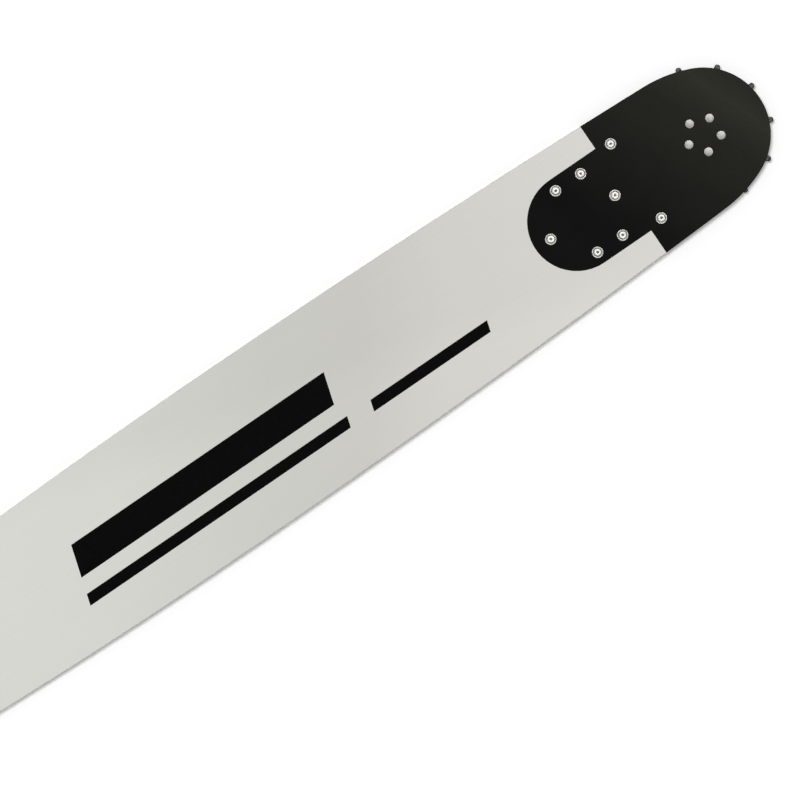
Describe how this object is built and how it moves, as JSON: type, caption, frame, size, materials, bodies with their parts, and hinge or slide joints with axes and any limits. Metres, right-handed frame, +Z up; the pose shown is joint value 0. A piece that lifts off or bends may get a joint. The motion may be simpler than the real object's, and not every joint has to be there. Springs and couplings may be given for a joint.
{
  "type": "chainsaw guide bar",
  "caption": "Long flat steel chainsaw guide bar with grooved edges, a slotted tail and riveted black nose plates that hold a toothed sprocket on a roller bearing.",
  "frame": {"origin": "on the surface that the bar lies on, at the middle of its length and width", "axes": "+X along the bar to the nose, +Y across it, +Z up through its thickness"},
  "size_m": [0.5495, 0.0732, 0.0053],
  "materials": {
    "bar_lacquer": "satin lacquer",
    "nose_black": "satin black",
    "rivet_steel": "bright set heads",
    "sprocket_steel": "hardened",
    "bearing_steel": "ground"
  },
  "bodies": {
    "bar": {"bar_body": "bar_lacquer", "nose_plate_front": "nose_black", "nose_plate_back": "nose_black", "bearing_race": "bearing_steel", "tip_rivets": "rivet_steel", "bearing_rivets": "rivet_steel"},
    "sprocket": {"nose_sprocket": "sprocket_steel"},
    "rollers": {"bearing_roller_01": "bearing_steel", "bearing_roller_02": "bearing_steel", "bearing_roller_03": "bearing_steel", "bearing_roller_04": "bearing_steel", "bearing_roller_05": "bearing_steel", "bearing_roller_06": "bearing_steel", "bearing_roller_07": "bearing_steel", "bearing_roller_08": "bearing_steel", "bearing_roller_09": "bearing_steel", "bearing_roller_10": "bearing_steel", "bearing_roller_11": "bearing_steel", "bearing_roller_12": "bearing_steel", "bearing_roller_13": "bearing_steel", "bearing_roller_14": "bearing_steel", "bearing_roller_15": "bearing_steel", "bearing_roller_16": "bearing_steel", "bearing_roller_17": "bearing_steel", "bearing_roller_18": "bearing_steel", "bearing_roller_19": "bearing_steel"}
  },
  "joints": [
    {"name": "sprocket_spin", "type": "hinge", "parent": "bar", "child": "sprocket", "pos_m": [0.24449, 0, 0.00265], "axis": [0, 0, 1], "continuous": true},
    {"name": "roller_orbit", "type": "hinge", "parent": "bar", "child": "rollers", "pos_m": [0.24449, 0, 0.00265], "axis": [0, 0, 1], "continuous": true}
  ],
  "couplings": [
    {"joint": "roller_orbit", "follows": "sprocket_spin", "ratio": 0.58101}
  ]
}
